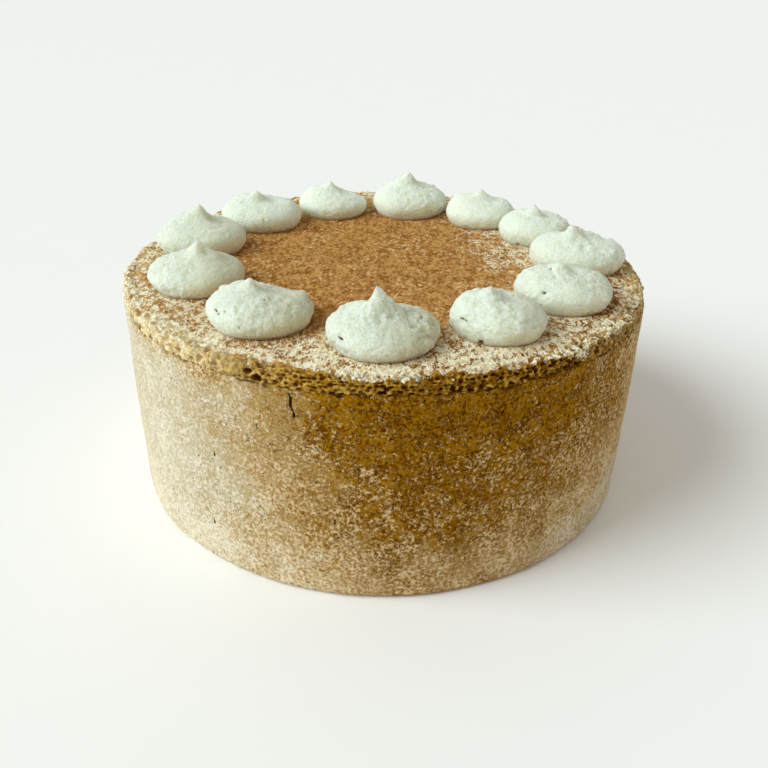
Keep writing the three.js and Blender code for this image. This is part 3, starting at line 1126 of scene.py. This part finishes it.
# What is special to some dollops, by their numbers
NARROW_TIPS = {2: 0.42, 3: 0.45, 5: 0.5, 6: 0.52, 9: 0.42, 12: 0.36}  # shares of the dollop's radius
TALLER_TIPS = {1: 0.4, 5: 0.4, 6: 0.6, 7: 0.8, 10: 1.1, 11: 0.6}  # millimetres
DRAWN_TIPS = {1: 1.2, 6: 0.8, 11: 0.9}  # how much further the tip's right flank runs out
ROUGH_LEFT = (10, 11)  # these are rougher on their left
ROUGHNESS = {1: 1.3, 5: 0.8, 6: 0.5, 7: 0.8, 8: 0.5, 9: 0.8, 10: 0.4, 11: 0.35}  # of the surface
# share of painted warm bounce light low down on these dollops
WARM_BOUNCE_AT_FEET = {5: 0.3, 6: 0.2, 7: 0.4, 8: 0.3, 9: 0.4, 10: 0.7}  # these warm less towards the foot
# share of painted shade on the right of these dollops
SHADES = {1: 0.95, 2: 0.6, 3: 0.45, 10: 0.65, 11: 1.0, 12: 0.9}  # these are duller on the right

# Marks on a dollop as seen from the camera, in millimetres from the middle of its foot:
# across, up, half width, half height, slant in degrees, and how far the cream stands out there
SWELLS = {
    1: [
        (-4.6, 13.2, 1.7, 1.4, 45, -1.0),
        (-8.5, 12, 4, 1.6, 12, 0.7),
        (18, 3, 3, 6, 0, -0.8),
        (6, 10.5, 4, 2, -25, -0.4),
        (1, 1.5, 0.8, 3.5, -12, -0.4),
        (3.2, 7.5, 1.2, 3.5, 25, -0.25),
        (-2, -2.6, 2.6, 0.5, 25, -0.45),
        (12.5, 8, 3, 2.2, -30, 0.5),
        (13.5, 3, 2.6, 0.4, 8, -0.3),
        (-8, 7, 4, 3, 0, 0.4),
        (5.5, 3.2, 0.5, 2.2, 15, -0.25),
    ],
    2: [
        (-14.5, 7, 3, 5, 0, -1.2),
        (3.4, 10.9, 2.2, 1.1, -20, -0.9),
        (6, 12.3, 4, 1.4, -15, -0.5),
        (2.2, 2.5, 0.7, 2.2, 10, -0.45),
        (-4.4, -3.2, 0.9, 2.0, 20, -0.6),
        (-9, 6, 4, 3.5, 0, 0.4),
        (9, 5, 4, 3, 0, 0.4),
        (5, 5.5, 1.6, 1.6, 0, -0.3),
        (9, 1.8, 3, 0.4, 18, -0.3),
        (12.5, 0.4, 2, 0.35, 20, -0.35),
        (8, 0.4, 2.5, 0.4, 15, 0.25),
    ],
    3: [
        (-5, 11.6, 1.4, 0.6, -35, -1),
        (-3.2, 9.4, 0.6, 1.8, 35, -0.6),
        (1.6, 11.2, 0.5, 1.6, 35, 0.4),
        (4.0, 10.8, 1.9, 1.0, -35, -1.6),
        (4.6, 9.3, 0.5, 1.3, 40, -0.5),
        (12, 8.4, 4.5, 3.5, 0, 0.8),
        (5, -2.2, 4, 0.4, -5, -0.25),
    ],
    4: [
        (-1.6, 12.3, 2.6, 2.2, 0, 0.8),
        (1.2, 14.2, 1.8, 1.2, -40, 1.5),
        (-4.6, 13.5, 1.8, 1.1, 30, -0.9),
        (-1.2, 9.4, 3, 0.5, 5, -0.4),
        (10.5, 10.9, 3, 1.6, -25, -0.9),
        (15.5, 7.6, 3.5, 2.6, -20, 0.3),
        (3.4, 6.5, 1.2, 3.5, 25, -0.7),
        (14.2, 4.8, 0.5, 1.6, -40, 0.5),
        (12, 3.2, 2.2, 0.45, -20, -0.35),
        (10.4, 2.0, 1.8, 0.5, -25, 0.4),
        (9.2, 4.8, 0.5, 1.3, 40, -0.4),
        (8.0, 1.6, 0.5, 1.6, 35, -0.4),
    ],
    5: [
        (-8, 11.4, 5, 2.5, 15, 1.0),
        (8.5, 9.6, 5, 2.2, -20, 0.2),
        (13.5, 7.4, 3, 2, -25, 0.3),
        (4, 9.4, 3, 0.9, -10, -0.8),
        (9, 7.4, 3.5, 0.5, 5, -0.4),
        (-3.5, 9.6, 3, 0.5, -20, -0.4),
    ],
    6: [(-9, 10.2, 5.5, 3, 15, 1.9), (11, 8.2, 4.5, 2.4, -25, 0.9), (4, 9.5, 3, 1.2, -20, -0.4)],
    7: [
        (-5.5, 13.8, 4.5, 2.2, 25, 1.6),
        (-1.8, 0.6, 0.5, 3.6, -38, -0.3),
        (3, 12.6, 2, 0.8, -35, -0.5),
        (-5.2, 13.0, 2.2, 0.5, 25, -0.35),
        (6, 0.4, 2.4, 0.4, 20, -0.3),
    ],
    8: [(-9, 10, 5, 3, 25, 1.3), (7.5, 10.2, 4.5, 2, -20, -0.9), (13, 7.6, 3, 2.5, -35, -0.9)],
    9: [(-8.5, 11.4, 4.5, 2.5, 20, 0.9), (11.5, 8.8, 4, 2.2, -20, 0.8), (1.5, 10.2, 3, 1, -10, -0.8)],
    10: [
        (-9, 11.6, 6, 3, 25, 1.7),
        (-5.5, 13.6, 3.2, 1.6, 25, 1.0),
        (4, 11, 2.8, 1.3, -40, -1),
        (6, 7.2, 3, 0.5, 10, -0.35),
    ],
    11: [
        (-14, 9.5, 4, 3, 40, 1.0),
        (-17, 5, 2, 3.5, 0, 0.8),
        (17, 4, 2, 4, 0, -0.8),
        (8, 11.2, 5, 2.2, -20, 0.1),
        (3.2, 11.6, 3.0, 1.5, -40, -1.0),
        (-0.6, 12.4, 1.6, 2.8, 5, 0.3),
        (5, 9.4, 3, 0.5, -12, 0.35),
        (-2.8, 13.4, 2.2, 1.2, 30, 0.8),
    ],
    12: [
        (-8, 11.5, 4.5, 2.5, 20, 0.9),
        (6.5, 11.4, 5.5, 2.2, -10, -1.5),
        (3.2, 10.8, 4.2, 0.8, -10, -0.8),
        (2.5, 9.4, 3.8, 0.5, -8, 0.35),
        (14.3, 9.0, 1.7, 1.4, 0, 0.8),
        (16.5, 7.2, 1.2, 0.8, -40, -0.5),
        (17, 3, 1, 3.5, 0, -0.6),
        (3, 4.4, 0.9, 1.2, 20, -0.35),
        (0.8, -1.6, 0.5, 1.8, -30, -0.3),
    ],
}
HOLES = {
    1: [(-13, 0.9, 1.2, 0.45, -36, -1.4)],
    2: [(-11.4, 3.3, 0.9, 0.5, -20, -0.9), (-10.2, 2.6, 0.5, 0.45, 0, -0.8), (-5, -4.6, 1, 0.6, -20, -1.2)],
    3: [(-4.5, 11.5, 0.8, 0.5, -40, -0.9), (-6, 2.7, 0.75, 0.5, 0, -1.1)],
    5: [(-6, -2.7, 0.9, 0.4, 0, -0.8)],
    12: [
        (-14, 3.3, 0.8, 0.4, -50, -1),
        (-13.2, 2.1, 0.5, 0.4, -30, -0.9),
        (-11, 2.8, 0.5, 0.4, 0, -0.6),
        (1.4, 6.8, 0.45, 0.35, 0, -0.7),
        (3.2, 6.8, 0.45, 0.35, 0, -0.7),
        (-6.5, -2.2, 0.4, 0.5, 0, -0.6),
    ],
}


def dollop_profile(radius, dome, tip, tip_width):
    """Outline of a dollop: foot, undercut, belly, dome and drawn-up tip."""
    fuller = tip * (TIP_WIDTH - tip_width) * FULLER_DOME
    dome = dome + fuller
    tip = tip - fuller
    power = TIP_POWER * math.sqrt(tip_width / TIP_WIDTH)
    points = [(0, -SINK), (CONTACT * radius * FOOT_ROUND, -SINK)]
    for share in np.linspace(0, 1, BELLY_ROWS):
        bulge = math.sin(share * math.pi / 2)
        points.append((radius * (CONTACT + (1 - CONTACT) * bulge), dome * BELLY * share))
    for turn in np.linspace(0, math.pi / 2, DOLLOP_ROWS - BELLY_ROWS - 1)[1:]:
        share = math.cos(turn) if turn < math.pi / 2 else 0
        rise = dome * (BELLY + (1 - BELLY) * math.sin(turn))
        points.append((radius * share, rise + tip * max(0, 1 - share / tip_width) ** power))
    return points


def shape_dollop(places, radius, dome, lean, shoulder, tip_drawn, starts):
    """Gives a turned dollop its oval outline, leaning tip, hollow and drawn-out shoulder."""
    angle = angle_of(places)
    share = radius_of(places) / radius
    rise = np.maximum(0, places[:, 2] / dome - BELLY) / (1 - BELLY)
    drawn = shoulder * np.maximum(0, np.cos(angle))
    outline = 1 + OVAL * np.cos(2 * angle + starts[0]) + THREE_SIDED * np.cos(3 * angle + starts[1])
    outline = outline + SHOULDER_WIDEN * drawn
    pull = np.hypot(places[:, 0] / radius - PULL_REACH, places[:, 1] / radius) / PULL_SPREAD
    lift = SHOULDER_LIFT * drawn * share**2 - PULL_DEPTH * np.exp(-(pull**2))
    flank = tip_drawn * np.maximum(0, 1 - share / TIP_WIDTH) * (0.5 + 0.5 * np.cos(angle)) ** 1.5
    places[:, 0] = places[:, 0] * (outline + flank) + lean * np.minimum(1, rise**LEAN_POWER)
    places[:, 1] *= outline * FLATTENED
    places[:, 2] += np.where(rise > 0, dome * lift, 0)


def marks(places, normals, foot, rows, sharp):
    """How far a dollop stands out at its marks, on the side that the camera sees."""
    right, _, back = camera_axes()
    towards = np.array(CAMERA_AIM + back * CAMERA_DISTANCE) - foot
    towards /= np.linalg.norm(towards)
    aside = np.array(right) - towards * np.dot(right, towards)
    aside /= np.linalg.norm(aside)
    across = places @ aside / MM
    upward = places @ np.cross(towards, aside) / MM
    seen = smooth_step(0, 0.25, normals @ towards + (0 if sharp else 0.45))
    push = np.zeros(len(places))
    for middle, height, wide, tall, slant, depth in rows:
        turn = math.radians(slant)
        along_it = ((across - middle) * math.cos(turn) + (upward - height) * math.sin(turn)) / wide
        over_it = ((upward - height) * math.cos(turn) - (across - middle) * math.sin(turn)) / tall
        far = along_it**2 + over_it**2
        push += depth * seen * (np.sqrt(np.clip(1 - far, 0, 1)) if sharp else np.exp(-far))
    return push


def cream_unevenness(spot, roughness):
    """Lumps, creases and curdled grain of the cream, in millimetres; some parts are smoother than others."""
    rough = 0.5 + smooth_step(-0.3, 0.4, lumps(spot, 11 * MM, CREAM_SEED + 4))
    creases = bell(lumps(spot, 6.5 * MM, CREAM_SEED + 5), 0, 0.09)
    fine = layered_lumps(spot, CREAM_SEED + 2, (0.36, 2.3), (0.19, 1.1))
    wide = layered_lumps(spot, CREAM_SEED, (0.4, 10), (0.22, 4.6))
    return np.minimum(roughness, 1) * wide + roughness * rough * (fine - 0.18 * creases)


def cream_roughness(number, aside):
    """How rough a dollop's surface is, for shares of its radius to the right."""
    roughness = np.full(len(aside), ROUGHNESS.get(number, 1.0))
    if number in ROUGH_LEFT:
        roughness += 0.9 * smooth_step(0.15, -0.3, aside)
    return roughness


def write_cream_masks(mesh, number, places, aside, holes):
    """Masks for the cream's colours: painted shade on the right, painted warm bounce light low down, and a
    brown stain with painted bounce light at the foot.
    """
    height = places[:, 2]
    # painted shade share, more on the right away from the light; it weights the painted bounce light and the
    # foot
    shaded = 0.15 + 0.85 * smooth_step(-0.6, 0.8, aside)
    write_mask(mesh, "pit", np.clip(-holes, 0, 1))
    write_mask(mesh, "shade", SHADES.get(number, 0) * smooth_step(-0.5, 0.9, aside))
    write_mask(mesh, "low", WARM_BOUNCE_AT_FEET.get(number, 1) * shaded * smooth_step(9 * MM, 0, height))
    # brown stain and painted warm bounce light at the foot, more on the shaded right
    write_mask(mesh, "foot", (0.3 + 0.5 * shaded) * smooth_step(1.5 * MM, 0.2 * MM, height))


def cream_dollop(number, sizes, starts):
    turn, ring, radius, dome, tip, lean, shoulder = sizes
    ring, radius, dome, tip, lean = (x * MM for x in (ring, radius, dome, tip, lean))
    name = f"cream_dollop_{number:02d}"
    tip = tip + TALLER_TIPS.get(number, 0) * MM
    profile = dollop_profile(radius, dome, tip, NARROW_TIPS.get(number, TIP_WIDTH))
    piece = turned_piece("piped_" + name, profile, DOLLOP_STEPS, DOLLOP_PARTS)
    mesh = piece.data
    places = read_places(mesh)
    shape_dollop(places, radius, dome, lean, shoulder, DRAWN_TIPS.get(number, 0), starts)
    write_places(mesh, places)
    normals = read_normals(mesh)
    azimuth = math.radians(FRONT + turn)
    foot = np.array((ring * math.cos(azimuth), ring * math.sin(azimuth), CAKE_TOP + POWDER_DEPTH))
    holes = marks(places, normals, foot, HOLES.get(number, []), True)
    swells = marks(places, normals, foot, SWELLS[number], False)
    aside = places[:, 0] / radius
    roughness = cream_roughness(number, aside)
    write_cream_masks(mesh, number, places, aside, holes)
    write_mask(mesh, "grain", roughness)
    above = smooth_step(-1 * MM, 2 * MM, places[:, 2])
    out = above * cream_unevenness(places + foot, roughness) + holes + swells
    write_places(mesh, places + normals * (out * MM)[:, None] + foot)
    return piece, name


# Loose grains

WALL_GRAINS = 24000
SUGAR_GRAINS = 16000
COCOA_GRAINS = 14000
SUGAR_SIZE = 0.33 * MM
COCOA_SIZE = 0.32 * MM
WALL_GRAIN_SEED = 81
SUGAR_GRAIN_SEED = 91
COCOA_GRAIN_SEED = 92
GRAIN_REACH = 92 * MM  # loose grains on the top lie this far out from the axis
GRAIN_CORNERS = np.array([(1, 0, 0), (-1, 0, 0), (0, 1, 0), (0, -1, 0), (0, 0, 1), (0, 0, -1)], float)
GRAIN_FACES = np.array(
    [(0, 2, 4), (2, 1, 4), (1, 3, 4), (3, 0, 4), (2, 0, 5), (1, 2, 5), (3, 1, 5), (0, 3, 5)]
)


def random_turns(rng, count):
    """Rotation matrices evenly spread over all directions."""
    quaternions = rng.normal(size=(count, 4))
    w, x, y, z = (quaternions / np.linalg.norm(quaternions, axis=1)[:, None]).T
    rows = [
        (1 - 2 * (y * y + z * z), 2 * (x * y - w * z), 2 * (x * z + w * y)),
        (2 * (x * y + w * z), 1 - 2 * (x * x + z * z), 2 * (y * z - w * x)),
        (2 * (x * z - w * y), 2 * (y * z + w * x), 1 - 2 * (x * x + y * y)),
    ]
    return np.array(rows).transpose(2, 0, 1)


def grains_piece(name, middles, sizes, rng):
    """Many small uneven grains as one mesh."""
    count = len(middles)
    stretch = sizes[:, None, None] * rng.uniform(0.6, 1.25, (count, len(GRAIN_CORNERS), 1))
    corners = GRAIN_CORNERS[None] * stretch
    corners = np.einsum("nij,nkj->nki", random_turns(rng, count), corners) + middles[:, None]
    firsts = len(GRAIN_CORNERS) * np.arange(count)
    faces = (GRAIN_FACES[None] + firsts[:, None, None]).reshape(-1, 3)
    mesh = bpy.data.meshes.new(name)
    mesh.from_pydata(corners.reshape(-1, 3).tolist(), [], faces.tolist())
    mesh.update()
    return put_in_scene(name, mesh)


def kept_draws(rng, count, make, chance):
    """Draws places until enough are kept by a chance that depends on the place."""
    kept = []
    while sum(len(x) for x in kept) < count:
        places = make(rng, 4 * count)
        kept.append(places[rng.random(len(places)) < chance(places)])
    return np.concatenate(kept)[:count]


def wall_places(rng, count):
    angle = rng.uniform(-math.pi, math.pi, count)
    height = rng.uniform(1.5 * MM, WALL_TOP - 1 * MM, count)
    return np.stack([CAKE_RADIUS * np.cos(angle), CAKE_RADIUS * np.sin(angle), height], 1)


def top_places(rng, count):
    radius = GRAIN_REACH * np.sqrt(rng.random(count))
    angle = rng.uniform(-math.pi, math.pi, count)
    return np.stack([radius * np.cos(angle), radius * np.sin(angle), np.full(count, CAKE_TOP)], 1)


def wall_chance(places):
    """How likely a sugar grain on the wall is kept."""
    return dust_mask(places) ** 1.5


def sugar_chance(places):
    """How likely a sugar grain on the top is kept."""
    return np.clip(1.3 * (sugar_cover(places) - 0.3), 0.008, 1)


def cocoa_chance(places):
    """How likely a cocoa grain on the top is kept."""
    return np.clip(1.05 - sugar_cover(places), 0, 1)


def wall_sugar():
    rng = np.random.default_rng(WALL_GRAIN_SEED)
    places = kept_draws(rng, WALL_GRAINS, wall_places, wall_chance)
    places[:, :2] *= (1 + wall_growth(places) / CAKE_RADIUS)[:, None]
    sizes = (0.08 + 0.12 * rng.random(WALL_GRAINS) ** 2) * MM
    return grains_piece("wall_sugar", places, sizes, rng)


def top_grains(name, count, seed, chance, size):
    rng = np.random.default_rng(seed)
    places = kept_draws(rng, count, top_places, chance)
    places[:, 2] = top_height(places, sugar_cover(places))
    sizes = (0.4 + 0.6 * rng.random(count) ** 2) * size
    return grains_piece(name, places, sizes, rng)


# Stage

FLOOR_SIZE = 6
FLOOR_PALE = paint(251, 250, 249)
FLOOR_WHITE = paint(253, 252, 251)
SKY_COLOUR = (1.0, 0.97, 0.89, 1)
SKY_STRENGTH = 0.46
WINDOW_COLOUR = (0.88, 0.98, 1.0)
WINDOW_STRENGTH = 2.6
WINDOW_SPREAD = math.radians(40)
WINDOW_AZIMUTH = math.radians(196)
WINDOW_ELEVATION = math.radians(38)


def pale_floor():
    bm = bmesh.new()
    bmesh.ops.create_grid(bm, x_segments=1, y_segments=1, size=FLOOR_SIZE)
    floor = piece_from("floor", bm)
    f = Finish("floor")
    colour = f.mix(FLOOR_PALE, FLOOR_WHITE, f.noise(40))
    floor.data.materials.append(f.done(colour, 0.9 - f.noise(30) * 0.05, f.noise(8), 0.01 * MM))


def even_sky():
    world = bpy.data.worlds.new("sky")
    world.use_nodes = True
    sky = world.node_tree.nodes["Background"]
    sky.inputs["Color"].default_value = SKY_COLOUR
    sky.inputs["Strength"].default_value = SKY_STRENGTH
    bpy.context.scene.world = world


def window_light():
    """Wide soft light from a window on the left, even over the whole floor."""
    data = bpy.data.lights.new("window", "SUN")
    data.energy = WINDOW_STRENGTH
    data.angle = WINDOW_SPREAD
    data.color = WINDOW_COLOUR
    level = math.cos(WINDOW_ELEVATION)
    towards = Vector(
        (math.cos(WINDOW_AZIMUTH) * level, math.sin(WINDOW_AZIMUTH) * level, math.sin(WINDOW_ELEVATION))
    )
    put_in_scene("window", data).rotation_euler = towards.to_track_quat("Z", "Y").to_euler()


def build():
    photo_camera()
    pale_floor()
    even_sky()
    window_light()
    bpy.context.scene.view_settings.view_transform = "Standard"
    give(cake_wall(), sponge_skin_finish(), "sponge_skin", "cake_body")
    crumb = crumb_finish()
    give(crumb_rim(), crumb, "sponge_crumb", "sponge_disc")
    give(dusted_top(), dusted_top_finish(), "sponge_crumb")
    cream = cream_finish()
    draws = seeded_draws(DOLLOP_SEED)
    for number, sizes in enumerate(DOLLOPS, 1):
        starts = (TURN * next(draws), TURN * next(draws))
        piece, node = cream_dollop(number, sizes, starts)
        give(piece, cream, "cream", node)
    dusting = grain_finish("dusting", SUGAR_WARM, SUGAR_THIN)
    sugar = grain_finish("sugar_grains", SUGAR_WARM, SUGAR_TOP)
    cocoa = grain_finish("cocoa_grains", COCOA_DARK, COCOA)
    give(wall_sugar(), dusting, "sponge_skin")
    give(rim_crumbs(), crumb, "sponge_crumb")
    white = top_grains("top_sugar", SUGAR_GRAINS, SUGAR_GRAIN_SEED, sugar_chance, SUGAR_SIZE)
    give(white, sugar, "sponge_crumb")
    brown = top_grains("top_cocoa", COCOA_GRAINS, COCOA_GRAIN_SEED, cocoa_chance, COCOA_SIZE)
    give(brown, cocoa, "sponge_crumb")


build()
